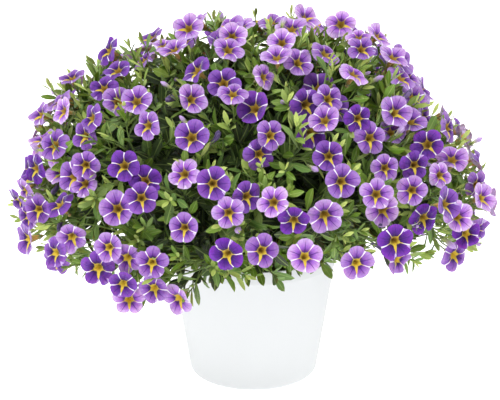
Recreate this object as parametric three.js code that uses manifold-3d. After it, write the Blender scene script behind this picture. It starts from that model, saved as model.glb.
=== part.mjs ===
// A calibrachoa (million bells) in its pot: a wide dome of violet trumpet blooms over small leaves.
// Millimetres, +Z up. The origin is the centre of the pot's base, on the surface that it stands on.
// The front of the plant faces -Y.

import * as THREE from 'three';
import { ConvexGeometry } from 'three/addons/geometries/ConvexGeometry.js';
import { mergeVertices } from 'three/addons/utils/BufferGeometryUtils.js';
import Module from 'manifold-3d';

const wasm = await Module();
wasm.setup();

// Pot: tapered, with a rounded bottom corner and a collar round the rim.
const POT_HEIGHT = 110;
const POT_BASE_RADIUS = 52.5;
const POT_TAPER = 0.155;
const POT_WALL = 2;
const POT_FLOOR = 2.4;
const POT_CORNER = 4;
const COLLAR_HEIGHT = 13;
const COLLAR_STEP = 1.2;
const POT_SIDES = 28;

// Soil: fills the pot to a little under the rim, with a plain hole for each stem.
const GAP = 0.3;
const SOIL_TOP = 100;
const HOLE_DEPTH = 14;

// Mound: the outer form of the plant, an egg round MOUND_CENTRE. Each swell makes it wider by a share,
// or narrower, round an azimuth and a polar angle, each with its spread, in degrees. The skirt is the
// polar angle at which the mound ends, and each dip lowers or lifts it round an azimuth.
const MOUND_CENTRE = new THREE.Vector3(-3, 0, 142);
const MOUND_HALF = new THREE.Vector3(201.5, 192, 156);
const MOUND_LEAN = 22;
const MOUND_TUCK = 0.5;
const MOUND_SWELLS = [
  { share: 0.13, azimuth: [180, 55], polar: [44, 18] },
  { share: -0.075, azimuth: [180, 55], polar: [72, 13] },
  { share: -0.14, azimuth: [0, 50], polar: [48, 16] },
];
const SKIRT_POLAR = 97;
const SKIRT_DIPS = [
  { dip: -12.5, azimuth: [-75, 32] },
  { dip: 8, azimuth: [-112, 20] },
  { dip: -3.5, azimuth: [180, 25] },
];

// Shoots: each rises from its own hole and bends outwards to its place under the blooms.
const SHOOT_COUNT = 56;
const LEAFY_EVERY = 4;
const ROOT_SPREAD = 56;
const ROOT_RISE = 6;
const BEND_HANDLES = [0.45, 0.35];
const STEM_RADIUS = 2.4;
const STEM_TIP_RADIUS = 2.2;
const STEM_SIDES = 3;
const BEND_STEPS = 3;
const FLOWERING_REACH = 0.8;
const LEAFY_REACH = [0.93, 0.66];

// Blooms: a shallow five-lobed funnel on a stalk that is sunk in its shoot.
const BLOOM_COUNT = 284;
const BLOOM_RADIUS = [11.5, 14.3];
const BLOOM_DEPTH = [-3, 13];
const BLOOM_AZIMUTH = 0.7;
const BLOOM_SCATTER = { places: 9, azimuth: 0.16, roll: 0.5 };
const BLOOM_TILT = { level: [-0.42, 0.42], up: [-0.35, 0.4] };
const FRONT_TURN = { most: 0.8, rise: 2, top: 0.65 };
const NOTCH_SHARE = 0.73;
const NOTCH_DROP = 0.8;
const THROAT_DEPTH = 3.6;
const NECK_DEPTH = 7.5;
const NECK_RADIUS = 2.3;
const STALK_LENGTH = 32;
const ROOT_SHARES = [0.4, 0.985];
const ROOT_SHIFT = 0.05;
const ROOT_SINK = 0.9;
const LEAST_BEHIND = 0.15;
const SIDE_COST = 60;
const BLOOM_TRIES = 30;
const TRY_STEP = 0.8;
const BLOOM_SEED = 17;

// Leaves: lance-shaped blades with a raised rib, rooted in the stems and in the bloom stalks.
const STEM_LEAVES = 1;
const LEAFY_SHOOT_LEAVES = 6;
const LEAF_LENGTH = [15, 23];
const LEAF_WIDTH_SHARE = 0.4;
const LEAF_THICKNESS = 1.1;
const LEAF_SHARES = [0.4, 0.98];
const LEAF_ANGLES = [75, 40];
const LEAF_OUTLINE = [[0.36, 0.95], [0.7, 0.8]];
const STALK_LEAF_SHARES = [0.5, 0.75];
const STALK_LEAF_ANGLES = [50, 70];
const LEAF_SEED = 96;

const CLEARANCE = 0.45;
const GOLDEN_ANGLE = Math.PI * (3 - Math.sqrt(5));
const DEGREE = Math.PI / 180;

// ---------------------------------------------------------------- helpers

/** A repeatable source of even random draws between two values. */
function randomDraws(seed) {
  let state = seed;
  return (low, high) => {
    state = (state * 1664525 + 1013904223) % 4294967296;
    return low + (high - low) * state / 4294967296;
  };
}

/** A closed three.js geometry as a solid that can be joined and cut. */
function solidOf(geometry) {
  geometry.deleteAttribute('normal');
  geometry.deleteAttribute('uv');
  const merged = mergeVertices(geometry, 1e-4);
  return new wasm.Manifold(new wasm.Mesh({
    numProp: 3,
    vertProperties: new Float32Array(merged.attributes.position.array),
    triVerts: new Uint32Array(merged.index.array),
  }));
}

/** A solid back as a named mesh with a plain material. */
function meshOf(name, solid, material) {
  const { vertProperties, triVerts } = solid.getMesh();
  const geometry = new THREE.BufferGeometry();
  geometry.setAttribute('position', new THREE.BufferAttribute(vertProperties, 3));
  geometry.setIndex(new THREE.BufferAttribute(triVerts, 1));
  const mesh = new THREE.Mesh(geometry, material);
  mesh.name = name;
  return mesh;
}

/** Points on a circle, counter-clockwise about the axis that across x along gives. */
function ring(centre, across, along, radius, count) {
  return Array.from({ length: count }, (_, i) => {
    const angle = 2 * Math.PI * i / count;
    return centre.clone()
      .addScaledVector(across, radius * Math.cos(angle))
      .addScaledVector(along, radius * Math.sin(angle));
  });
}

/** A closed skin over rings of points, each counter-clockwise; a ring of one point is a tip. */
function skin(rings) {
  const points = rings.flat();
  const faces = [];
  let first = 0;
  for (let level = 0; level + 1 < rings.length; level += 1) {
    const low = rings[level].length;
    const high = rings[level + 1].length;
    const lowEdges = low > 1 ? low : 0;
    const highEdges = high > 1 ? high : 0;
    let i = 0;
    let j = 0;
    while (i < lowEdges || j < highEdges) {
      const stepLow = j >= highEdges || (i < lowEdges && (i + 1) / low <= (j + 1) / high);
      const a = first + i % low;
      const b = first + low + j % high;
      if (stepLow) {
        faces.push(a, first + (i + 1) % low, b);
        i += 1;
      } else {
        faces.push(a, first + low + (j + 1) % high, b);
        j += 1;
      }
    }
    first += low;
  }
  const last = rings.at(-1).length;
  for (let k = 1; k + 1 < rings[0].length; k += 1) faces.push(0, k + 1, k);
  for (let k = 1; k + 1 < last; k += 1) faces.push(first, first + k, first + k + 1);
  const geometry = new THREE.BufferGeometry().setFromPoints(points);
  geometry.setIndex(faces);
  return geometry;
}

/** A smooth bump of height one at an angle in degrees, with a given width. */
function bump(angle, centre, width) {
  const turn = Math.atan2(Math.sin(angle - centre * DEGREE), Math.cos(angle - centre * DEGREE));
  return Math.exp(-((turn / (width * DEGREE)) ** 2));
}

// ---------------------------------------------------------------- the mound

/** How far down the skirt hangs, as an angle from the top: it lifts at the front, over the pot. */
function skirtPolar(azimuth) {
  const dips = SKIRT_DIPS.map((part) => part.dip * bump(azimuth, ...part.azimuth));
  return dips.reduce((sum, dip) => sum + dip, SKIRT_POLAR) * DEGREE;
}

/** The polar angle at which a share of the mound lies above. */
function polarAt(share, azimuth) {
  return Math.acos(1 - share * (1 - Math.cos(skirtPolar(azimuth))));
}

/** A point of the mound's outer form. */
function moundPoint(polar, azimuth) {
  const height = Math.cos(polar);
  const swells = MOUND_SWELLS.map((part) => (
    part.share * bump(azimuth, ...part.azimuth) * bump(polar, ...part.polar)
  ));
  const fullness = swells.reduce((sum, swell) => sum + swell, 1);
  const wide = Math.sin(polar) * fullness * (1 - MOUND_TUCK * Math.max(-height, 0));
  return new THREE.Vector3(
    MOUND_CENTRE.x + MOUND_HALF.x * wide * Math.cos(azimuth) + MOUND_LEAN * Math.max(height, 0) ** 3,
    MOUND_CENTRE.y + MOUND_HALF.y * wide * Math.sin(azimuth),
    MOUND_CENTRE.z + MOUND_HALF.z * height,
  );
}

/** The outward direction of the mound at a point. */
function moundNormal(point) {
  return point.clone().sub(MOUND_CENTRE)
    .divide(MOUND_HALF).divide(MOUND_HALF).normalize();
}

// ---------------------------------------------------------------- pot and soil

function potRadius(height) {
  return POT_BASE_RADIUS + POT_TAPER * height;
}

function latheSolid(profile) {
  const geometry = new THREE.LatheGeometry(profile.map(([r, z]) => new THREE.Vector2(r, z)), POT_SIDES);
  return geometry.rotateX(Math.PI / 2);
}

function makePot() {
  const collarFoot = POT_HEIGHT - COLLAR_HEIGHT;
  const corner = [0, 45].map((turn) => [
    potRadius(POT_CORNER) - POT_CORNER * (1 - Math.sin(turn * DEGREE)),
    POT_CORNER * (1 - Math.cos(turn * DEGREE)),
  ]);
  return solidOf(latheSolid([
    [0, 0],
    ...corner,
    [potRadius(POT_CORNER), POT_CORNER],
    [potRadius(collarFoot), collarFoot],
    [potRadius(collarFoot) + COLLAR_STEP, collarFoot + COLLAR_STEP],
    [potRadius(POT_HEIGHT) + COLLAR_STEP, POT_HEIGHT],
    [potRadius(POT_HEIGHT) - POT_WALL, POT_HEIGHT],
    [potRadius(POT_FLOOR) - POT_WALL, POT_FLOOR],
    [0, POT_FLOOR],
  ]));
}

function makeSoil(shoots) {
  const foot = POT_FLOOR + GAP;
  const inside = (height) => potRadius(height) - POT_WALL - GAP;
  const body = latheSolid([[0, foot], [inside(foot), foot], [inside(SOIL_TOP), SOIL_TOP], [0, SOIL_TOP]]);
  const holes = wasm.Manifold.union(shoots.map((shoot) => solidOf(skin(holeRings(shoot)))));
  return solidOf(body).subtract(holes);
}

// ---------------------------------------------------------------- shoots

/** The bent line of a shoot, in the upright plane through the pot's axis and the shoot's tip. */
function makeShoot(index) {
  const azimuth = index * GOLDEN_ANGLE;
  const share = (index + 0.5) / SHOOT_COUNT;
  const polar = polarAt(share, azimuth);
  const leafy = index % LEAFY_EVERY === 2;
  const leafyReach = THREE.MathUtils.lerp(...LEAFY_REACH, share ** 2);
  const tip = MOUND_CENTRE.clone()
    .lerp(moundPoint(polar, azimuth), leafy ? leafyReach : FLOWERING_REACH);
  const outward = new THREE.Vector3(tip.x, tip.y, 0).normalize();
  const sideways = new THREE.Vector3(-outward.y, outward.x, 0);
  const root = outward.clone().multiplyScalar(ROOT_SPREAD * Math.sqrt(share)).setZ(SOIL_TOP + ROOT_RISE);
  const span = root.distanceTo(tip);
  const end = outward.clone().multiplyScalar(Math.sin(polar)).setZ(Math.cos(polar));
  const bend = new THREE.CubicBezierCurve3(
    root,
    root.clone().setZ(root.z + BEND_HANDLES[0] * span),
    tip.clone().addScaledVector(end, -BEND_HANDLES[1] * span),
    tip,
  );
  const line = [root.clone().setZ(SOIL_TOP - HOLE_DEPTH), ...bend.getPoints(BEND_STEPS)];
  return { leafy, sideways, line, pieces: [], stalks: [] };
}

/** The sections of a stem: level in its hole, then square to the bend. */
function stemRings({ line, sideways }) {
  return line.map((point, k) => {
    const from = line[k < 2 ? 0 : k - 1];
    const to = line[k < 2 ? 1 : Math.min(k + 1, BEND_STEPS + 1)];
    const across = sideways.clone().cross(to.clone().sub(from).normalize());
    const radius = THREE.MathUtils.lerp(STEM_RADIUS, STEM_TIP_RADIUS, Math.max(k - 1, 0) / BEND_STEPS);
    return ring(point, across, sideways, radius, STEM_SIDES);
  });
}

/** The sections of a stem's hole, a gap wider than the stem all round and below. */
function holeRings({ line, sideways }) {
  const radius = STEM_RADIUS + GAP / Math.cos(Math.PI / STEM_SIDES);
  const across = sideways.clone().cross(new THREE.Vector3(0, 0, 1));
  const heights = [line[0].z - GAP, SOIL_TOP + HOLE_DEPTH];
  return heights.map((height) => (
    ring(line[0].clone().setZ(height), across, sideways, radius, STEM_SIDES)
  ));
}

/** The place and direction at a share of the shoot's bent stretch. */
function alongShoot(shoot, share) {
  const bent = shoot.line.slice(1);
  const step = Math.min(Math.floor(share * BEND_STEPS), BEND_STEPS - 1);
  const place = bent[step].clone().lerp(bent[step + 1], share * BEND_STEPS - step);
  const direction = bent[step + 1].clone().sub(bent[step]).normalize();
  return { place, direction };
}

// ---------------------------------------------------------------- blooms

/** Where a bloom's stalk leaves its shoot: near the wanted length, and not from its front. */
function stalkRoot(shoot, neck, facing) {
  let best = { cost: Infinity };
  for (let share = ROOT_SHARES[0]; share < ROOT_SHARES[1]; share += 0.03) {
    const reach = neck.clone().sub(alongShoot(shoot, share).place);
    const length = reach.length();
    const behind = reach.dot(facing) / length;
    const cost = Math.abs(length - STALK_LENGTH) + SIDE_COST * Math.max(0, 0.5 - behind);
    if (cost < best.cost) best = { cost, share };
  }
  return best.share;
}

/** The rings of a bloom, from the tip of its stalk, sunk past the middle of the shoot, to its throat. */
function bloomRings(bloom, centre, root) {
  const { facing, down, radius } = bloom;
  const sideways = facing.clone().cross(down);
  const rim = ring(centre, down, sideways, radius, 10).map((point, i) => (
    i % 2 ? point : point.lerp(centre, 1 - NOTCH_SHARE).addScaledVector(facing, -NOTCH_DROP)
  ));
  const throat = centre.clone().addScaledVector(facing, -THROAT_DEPTH);
  const neck = centre.clone().addScaledVector(facing, -NECK_DEPTH);
  const stalkTip = root.clone().addScaledVector(root.clone().sub(neck).normalize(), ROOT_SINK);
  return [[stalkTip], ring(neck, down, sideways, NECK_RADIUS, 3), rim, [throat]];
}

/** How far a bloom turns to the front: on the mound's front, less near its edge, and on its top. */
function frontTurn(facing) {
  const { most, rise, top } = FRONT_TURN;
  return Math.max(most * THREE.MathUtils.clamp(-rise * facing.y, 0, 1), top * Math.max(facing.z, 0) ** 6);
}

/** The places and directions of all blooms, before any is fitted. */
function drawBlooms() {
  const draw = randomDraws(BLOOM_SEED);
  return Array.from({ length: BLOOM_COUNT }, (_, index) => {
    const spread = (reach) => draw(-reach, reach);
    const share = Math.abs(index + 0.5 + spread(BLOOM_SCATTER.places)) / BLOOM_COUNT;
    const azimuth = index * GOLDEN_ANGLE + BLOOM_AZIMUTH + spread(BLOOM_SCATTER.azimuth);
    const polar = polarAt(share, azimuth);
    const place = moundPoint(polar, azimuth);
    const facing = moundNormal(place);
    const { level, up } = BLOOM_TILT;
    const turn = frontTurn(facing);
    facing.add(new THREE.Vector3(draw(...level), draw(...level) - turn, draw(...up))).normalize();
    const down = new THREE.Vector3(
      Math.cos(polar) * Math.cos(azimuth),
      Math.cos(polar) * Math.sin(azimuth),
      -Math.sin(polar),
    );
    down.applyAxisAngle(facing, spread(BLOOM_SCATTER.roll));
    down.addScaledVector(facing, -down.dot(facing)).normalize();
    return { place, facing, down, radius: draw(...BLOOM_RADIUS), depth: draw(...BLOOM_DEPTH) };
  });
}

/** The flowering shoots, the one whose tip is nearest first. */
function nearestShoots(shoots, place) {
  const distance = (shoot) => shoot.line.at(-1).distanceTo(place);
  return shoots.filter((shoot) => !shoot.leafy)
    .sort((one, other) => distance(one) - distance(other));
}

// ---------------------------------------------------------------- leaves

/** A lance-shaped blade with a rib on its upper side, from a point inside its stem. */
function leafSolid(root, direction, upper, length) {
  const side = direction.clone().cross(upper).normalize();
  const face = side.clone().cross(direction).normalize();
  const half = length * LEAF_WIDTH_SHARE / 2;
  const edge = (along, across) => root.clone()
    .addScaledVector(direction, along * length)
    .addScaledVector(side, across * half)
    .addScaledVector(face, -LEAF_THICKNESS);
  const tip = root.clone().addScaledVector(direction, length);
  const outline = LEAF_OUTLINE.flatMap(([along, across]) => [edge(along, across), edge(along, -across)]);
  return solidOf(new ConvexGeometry([root, tip, ...outline]));
}

/** The direction of a leaf that leaves a stem at an angle, turned round the stem. */
function leafDirection(along, turn, angle) {
  const helper = Math.abs(along.z) > 0.9 ? new THREE.Vector3(1, 0, 0) : new THREE.Vector3(0, 0, 1);
  const across = helper.cross(along).normalize().applyAxisAngle(along, turn);
  return along.clone().multiplyScalar(Math.cos(angle)).addScaledVector(across, Math.sin(angle));
}

// ---------------------------------------------------------------- fitting

/** Solids settled so far. A new one must keep clear of all but the one that it grows from. */
const settled = [];

function fits(solid, host) {
  const box = solid.boundingBox();
  return settled.every((other) => {
    const apart = [0, 1, 2].some((axis) => (
      box.min[axis] > other.box.max[axis] + CLEARANCE || box.max[axis] < other.box.min[axis] - CLEARANCE
    ));
    return other === host || apart || solid.minGap(other.solid, CLEARANCE) >= CLEARANCE;
  });
}

function settle(solid, shoot) {
  const piece = { solid, box: solid.boundingBox() };
  settled.push(piece);
  shoot?.pieces.push(piece);
  return piece;
}

/** Tries a bloom at growing depths, with its stalk at other heights, until it keeps clear. */
function settleBloom(bloom, hosts) {
  for (let attempt = 0; attempt < BLOOM_TRIES; attempt += 1) {
    const shoot = hosts[attempt % 3 === 2 ? 1 : 0];
    const centre = bloom.place.clone()
      .addScaledVector(bloom.facing, -bloom.depth - TRY_STEP * attempt);
    const neck = centre.clone().addScaledVector(bloom.facing, -NECK_DEPTH);
    const shift = ROOT_SHIFT * ((attempt * 2) % 7 - 3);
    const share = Math.min(stalkRoot(shoot, neck, bloom.facing) + shift, ROOT_SHARES[1]);
    const root = alongShoot(shoot, share).place;
    const behind = neck.clone().sub(root).normalize().dot(bloom.facing);
    const solid = solidOf(skin(bloomRings(bloom, centre, root)));
    if (behind > LEAST_BEHIND && fits(solid, shoot.stem)) {
      shoot.stalks.push({ piece: settle(solid, shoot), root, neck });
      return;
    }
  }
}

function settleLeaf(shoot, host, root, direction, upper, length) {
  const solid = leafSolid(root, direction, upper, length);
  if (fits(solid, host)) settle(solid, shoot);
}

/** Leaves that wind up the outer stretch of a stem. */
function settleStemLeaves(shoot, draw) {
  const count = shoot.leafy ? LEAFY_SHOOT_LEAVES : STEM_LEAVES;
  for (let k = 0; k < count; k += 1) {
    const share = THREE.MathUtils.lerp(...LEAF_SHARES, (k + 0.5) / count);
    const angle = THREE.MathUtils.lerp(...LEAF_ANGLES, share) * DEGREE;
    const length = draw(...LEAF_LENGTH);
    const { place, direction } = alongShoot(shoot, share);
    const towards = leafDirection(direction, k * GOLDEN_ANGLE + draw(-0.3, 0.3), angle);
    settleLeaf(shoot, shoot.stem, place, towards, direction, length);
  }
}

/** One leaf on each bloom stalk. */
function settleStalkLeaves(shoot, draw) {
  for (const { piece, root, neck } of shoot.stalks) {
    const along = neck.clone().sub(root).normalize();
    const start = root.clone().lerp(neck, draw(...STALK_LEAF_SHARES));
    const towards = leafDirection(along, draw(0, 2 * Math.PI), draw(...STALK_LEAF_ANGLES) * DEGREE);
    settleLeaf(shoot, piece, start, towards, along, draw(...LEAF_LENGTH));
  }
}

// ---------------------------------------------------------------- the plant in its pot

function material(color, roughness) {
  return new THREE.MeshStandardMaterial({ color, roughness, metalness: 0 });
}

/** The shoots of one kind as meshes, each fused to one body and numbered from 01. */
function shootMeshes(kind, chosen, look) {
  return chosen.map((shoot, index) => {
    const body = wasm.Manifold.union(shoot.pieces.map((piece) => piece.solid));
    return meshOf(`${kind}_${String(index + 1).padStart(2, '0')}`, body, look);
  });
}

const shoots = Array.from({ length: SHOOT_COUNT }, (_, index) => makeShoot(index));
const potPiece = settle(makePot());
const soilPiece = settle(makeSoil(shoots));

for (const shoot of shoots) shoot.stem = settle(solidOf(skin(stemRings(shoot))), shoot);
for (const bloom of drawBlooms()) settleBloom(bloom, nearestShoots(shoots, bloom.place));
const drawLeaf = randomDraws(LEAF_SEED);
for (const shoot of shoots) {
  settleStemLeaves(shoot, drawLeaf);
  settleStalkLeaves(shoot, drawLeaf);
}

const part = new THREE.Group();
part.name = 'calibrachoa_in_pot';
part.add(
  meshOf('pot', potPiece.solid, material('#f2f4f5', 0.55)),
  meshOf('soil', soilPiece.solid, material('#3b2a1f', 0.95)),
  ...shootMeshes('flowering_shoot', shoots.filter((shoot) => !shoot.leafy), material('#8a4fc0', 0.6)),
  ...shootMeshes('leafy_shoot', shoots.filter((shoot) => shoot.leafy), material('#55702f', 0.6)),
);

export default part;
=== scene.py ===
"""A calibrachoa in its pot: a wide dome of violet trumpet blooms over small leaves.

The growth of the plant is worked out in millimetres, as the solids were, and the pieces are in metres.
"""

import functools
import math
from collections import namedtuple

import bmesh
import bpy
from bpy.props import FloatProperty, FloatVectorProperty, IntProperty, PointerProperty
from mathutils import Matrix, Vector, kdtree, noise


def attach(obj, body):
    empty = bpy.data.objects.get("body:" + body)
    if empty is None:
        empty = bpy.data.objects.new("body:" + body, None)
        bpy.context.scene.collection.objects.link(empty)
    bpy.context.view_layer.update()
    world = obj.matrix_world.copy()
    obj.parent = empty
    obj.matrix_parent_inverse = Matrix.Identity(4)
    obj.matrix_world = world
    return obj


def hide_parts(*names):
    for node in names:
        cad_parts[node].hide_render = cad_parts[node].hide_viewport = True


bl_info = {
    "name": "Calibrachoa in its pot",
    "version": (1, 0, 0),
    "blender": (4, 5, 0),
    "location": "3D View > Sidebar > Calibrachoa",
    "description": "Builds the pot, soil, foliage and blooms of a calibrachoa round its solids",
    "category": "Add Mesh",
}

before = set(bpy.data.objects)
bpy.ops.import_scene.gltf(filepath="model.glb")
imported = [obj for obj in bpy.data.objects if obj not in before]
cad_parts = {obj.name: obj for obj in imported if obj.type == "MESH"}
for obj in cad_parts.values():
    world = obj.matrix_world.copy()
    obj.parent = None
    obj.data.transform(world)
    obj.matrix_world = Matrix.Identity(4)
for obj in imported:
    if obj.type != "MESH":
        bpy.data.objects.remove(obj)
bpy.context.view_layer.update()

MM = 0.001
NEAR = 0.05 * MM  # how far a solid's corner may lie from where it is looked for
GOLDEN_ANGLE = math.pi * (3 - math.sqrt(5))
SECTORS = 12


# ---- draws and small helpers

class Draws:
    """A repeatable source of even random draws between two values."""

    def __init__(self, seed):
        self.state = seed

    def __call__(self, low, high):
        self.state = (self.state * 1664525 + 1013904223) % 4294967296
        return low + (high - low) * self.state / 4294967296


def lerp(low, high, share):
    return low + (high - low) * share


def linear(red, green, blue):
    """A screen colour of 0 to 255 as the linear colour that materials use."""
    shares = [value / 255 for value in (red, green, blue)]
    return tuple(s / 12.92 if s <= 0.04045 else ((s + 0.055) / 1.055) ** 2.4 for s in shares)


def axes(x, y, z, origin, scale=1):
    """The matrix that puts a shape's axes along x, y and z at an origin in millimetres."""
    turn = Matrix((x, y, z)).transposed().to_4x4()
    return Matrix.Translation(origin * MM) @ turn @ Matrix.Scale(scale * MM, 4)


def square_to(vector, axis):
    """The part of a vector that is square to an axis, at length one."""
    return (vector - axis * vector.dot(axis)).normalized()


def any_square(direction):
    """A direction square to another."""
    return direction.orthogonal().normalized()


def bezier(points, share):
    """A point of the curve that its control points draw."""
    while len(points) > 1:
        points = [one.lerp(other, share) for one, other in zip(points, points[1:])]
    return points[0]


def slope(points, share):
    """The direction of that curve."""
    low, high = max(share - 0.02, 0), min(share + 0.02, 1)
    return (bezier(points, high) - bezier(points, low)).normalized()


def point_tree(points):
    """A search tree of points."""
    tree = kdtree.KDTree(len(points))
    for index, point in enumerate(points):
        tree.insert(point, index)
    tree.balance()
    return tree


# ---- the mound

MOUND_CENTRE = Vector((-3, 0, 142))
MOUND_HALF = Vector((201.5, 192, 156))
MOUND_LEAN = 22
MOUND_TUCK = 0.5
# Each swell: a share of the width, its azimuth and spread, and its polar angle and spread.
MOUND_SWELLS = [(0.13, (180, 55), (44, 18)), (-0.075, (180, 55), (72, 13)), (-0.14, (0, 50), (48, 16))]
SKIRT_POLAR = 97
# Each dip of the skirt: an angle, and its azimuth and spread.
SKIRT_DIPS = [(-12.5, (-75, 32)), (8, (-112, 20)), (-3.5, (180, 25))]


def bump(angle, centre, width):
    """A smooth bump of height one at an angle in degrees, with a given width."""
    turn = math.remainder(angle - math.radians(centre), 2 * math.pi)
    return math.exp(-(turn / math.radians(width)) ** 2)


def skirt_polar(azimuth):
    """How far down the skirt hangs, as an angle from the top."""
    return math.radians(SKIRT_POLAR + sum(dip * bump(azimuth, *where) for dip, where in SKIRT_DIPS))


def polar_at(share, azimuth):
    """The polar angle at which a share of the mound lies above."""
    return math.acos(1 - share * (1 - math.cos(skirt_polar(azimuth))))


def mound_point(polar, azimuth):
    """A point of the mound's outer form."""
    height = math.cos(polar)
    swells = [share * bump(azimuth, *where) * bump(polar, *level) for share, where, level in MOUND_SWELLS]
    wide = math.sin(polar) * (1 + sum(swells)) * (1 - MOUND_TUCK * max(-height, 0))
    return MOUND_CENTRE + Vector((
        MOUND_HALF.x * wide * math.cos(azimuth) + MOUND_LEAN * max(height, 0) ** 3,
        MOUND_HALF.y * wide * math.sin(azimuth),
        MOUND_HALF.z * height,
    ))


def mound_normal(point):
    """The outward direction of the mound at a point."""
    offset = point - MOUND_CENTRE
    return Vector([a / (half * half) for a, half in zip(offset, MOUND_HALF)]).normalized()


# ---- shoots, as the solids have them

SHOOT_COUNT = 56
SOIL_TOP = 100
ROOT_SPREAD = 56
ROOT_RISE = 6
BEND_HANDLES = 0.45, 0.35
BEND_STEPS = 3
FLOWERING_REACH = 0.8
LEAFY_REACH = 0.93, 0.66


class Shoot:
    """A stem: straight in its hole, then bent outwards to its place under the blooms."""

    def __init__(self, index):
        azimuth = index * GOLDEN_ANGLE
        share = (index + 0.5) / SHOOT_COUNT
        polar = polar_at(share, azimuth)
        self.leafy = index % 4 == 2
        reach = lerp(*LEAFY_REACH, share ** 2) if self.leafy else FLOWERING_REACH
        tip = MOUND_CENTRE.lerp(mound_point(polar, azimuth), reach)
        outward = Vector((tip.x, tip.y, 0)).normalized()
        root = outward * ROOT_SPREAD * math.sqrt(share)
        root.z = SOIL_TOP + ROOT_RISE
        span = (tip - root).length
        end = outward * math.sin(polar) + Vector((0, 0, math.cos(polar)))
        self.sideways = Vector((-outward.y, outward.x, 0))
        low, high = BEND_HANDLES
        self.curve = [root, root + Vector((0, 0, low * span)), tip - end * high * span, tip]
        self.line = [bezier(self.curve, step / BEND_STEPS) for step in range(BEND_STEPS + 1)]
        self.stalks = []
        self.sector = int((azimuth % (2 * math.pi)) / (2 * math.pi) * SECTORS)
        self.name = None

    def along(self, share):
        """The place and direction at a share of the solid's straight stretches."""
        step = min(math.floor(share * BEND_STEPS), BEND_STEPS - 1)
        low, high = self.line[step], self.line[step + 1]
        return low.lerp(high, share * BEND_STEPS - step), (high - low).normalized()


def make_shoots():
    """All shoots, named as their nodes are."""
    shoots = [Shoot(index) for index in range(SHOOT_COUNT)]
    for kind, leafy in (("flowering_shoot", False), ("leafy_shoot", True)):
        for number, shoot in enumerate((s for s in shoots if s.leafy == leafy), 1):
            shoot.name = f"{kind}_{number:02d}"
    return shoots


# ---- blooms, as the solids have them

BLOOM_COUNT = 284
BLOOM_TRIES = 30
TRY_STEP = 0.8
BLOOM_AZIMUTH = 0.7
PLACE_SCATTER, AZIMUTH_SCATTER, ROLL_SCATTER = 9, 0.16, 0.5
TILT_LEVEL, TILT_UP = (-0.42, 0.42), (-0.35, 0.4)
FRONT_TURN, TOP_TURN = 0.8, 0.65
BLOOM_RADIUS = 11.5, 14.3
BLOOM_DEPTH = -3, 13
NECK_DEPTH = 7.5
THROAT_DEPTH = 3.6
STALK_LENGTH = 32
SIDE_COST = 60
ROOT_SHARES = 0.4, 0.985
ROOT_STEP = 0.03
ROOT_SHIFT = 0.05
MOST_NOD = 0.5


def front_turn(facing):
    """How far a bloom turns to the front: on the mound's front, less near its edge, and on its top."""
    return max(FRONT_TURN * min(max(-2 * facing.y, 0), 1), TOP_TURN * max(facing.z, 0) ** 6)


class Bloom:
    """Where a bloom may sit, and how it is turned."""

    def __init__(self, index, draw):
        share = abs(index + 0.5 + draw(-PLACE_SCATTER, PLACE_SCATTER)) / BLOOM_COUNT
        azimuth = index * GOLDEN_ANGLE + BLOOM_AZIMUTH + draw(-AZIMUTH_SCATTER, AZIMUTH_SCATTER)
        polar = polar_at(share, azimuth)
        self.place = mound_point(polar, azimuth)
        facing = mound_normal(self.place)
        tilt = Vector((draw(*TILT_LEVEL), draw(*TILT_LEVEL) - front_turn(facing), draw(*TILT_UP)))
        self.facing = (facing + tilt).normalized()
        level = math.cos(polar)
        down = Vector((level * math.cos(azimuth), level * math.sin(azimuth), -math.sin(polar)))
        roll = Matrix.Rotation(draw(-ROLL_SCATTER, ROLL_SCATTER), 3, self.facing)
        self.down = square_to(roll @ down, self.facing)
        self.radius = draw(*BLOOM_RADIUS)
        self.depth = draw(*BLOOM_DEPTH)
        self.centre = self.shoot = self.root_share = None

    def nod(self, draw):
        """Turns the finer bloom's head a little from the solid's, about its centre."""
        axis = leaf_direction(self.facing, draw(0, 2 * math.pi), math.pi / 2)
        turn = Matrix.Rotation(MOST_NOD * draw(0, 1) ** 1.5, 3, axis)
        self.head, self.head_down = turn @ self.facing, turn @ self.down

    def head_axes(self):
        """The matrix that puts a bloom's ready shape in its place."""
        across = self.head.cross(self.head_down)
        return axes(self.head_down, across, self.head, self.centre, self.radius)


def stalk_root(shoot, neck, facing):
    """The share of a shoot at which a bloom's stalk leaves it."""
    share, most = ROOT_SHARES
    best_cost, best_share = math.inf, None
    while share < most:
        reach = neck - shoot.along(share)[0]
        behind = reach.dot(facing) / reach.length
        cost = abs(reach.length - STALK_LENGTH) + SIDE_COST * max(0, 0.5 - behind)
        if cost < best_cost:
            best_cost, best_share = cost, share
        share += ROOT_STEP
    return best_share


def corners(shoots):
    """A search tree of the corners of the shoots' solids."""
    return point_tree([vert.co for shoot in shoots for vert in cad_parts[shoot.name].data.vertices])


def find_blooms(shoots):
    """The blooms that the solids have, each found by the corner in its throat."""
    flowering = [shoot for shoot in shoots if not shoot.leafy]
    throats = corners(flowering)
    draw, nod_draw = Draws(17), Draws(29)
    found = []
    for bloom in [Bloom(index, draw) for index in range(BLOOM_COUNT)]:
        hosts = sorted(flowering, key=lambda shoot: (shoot.line[-1] - bloom.place).length)
        for attempt in range(BLOOM_TRIES):
            centre = bloom.place - bloom.facing * (bloom.depth + TRY_STEP * attempt)
            throat = centre - bloom.facing * THROAT_DEPTH
            if throats.find(throat * MM)[2] > NEAR:
                continue
            bloom.centre = centre
            bloom.shoot = hosts[1 if attempt % 3 == 2 else 0]
            neck = centre - bloom.facing * NECK_DEPTH
            share = stalk_root(bloom.shoot, neck, bloom.facing) + ROOT_SHIFT * ((attempt * 2) % 7 - 3)
            bloom.root_share = min(share, ROOT_SHARES[1])
            bloom.nod(nod_draw)
            bloom.shoot.stalks.append(bloom)
            found.append(bloom)
            break
    return found


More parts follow.
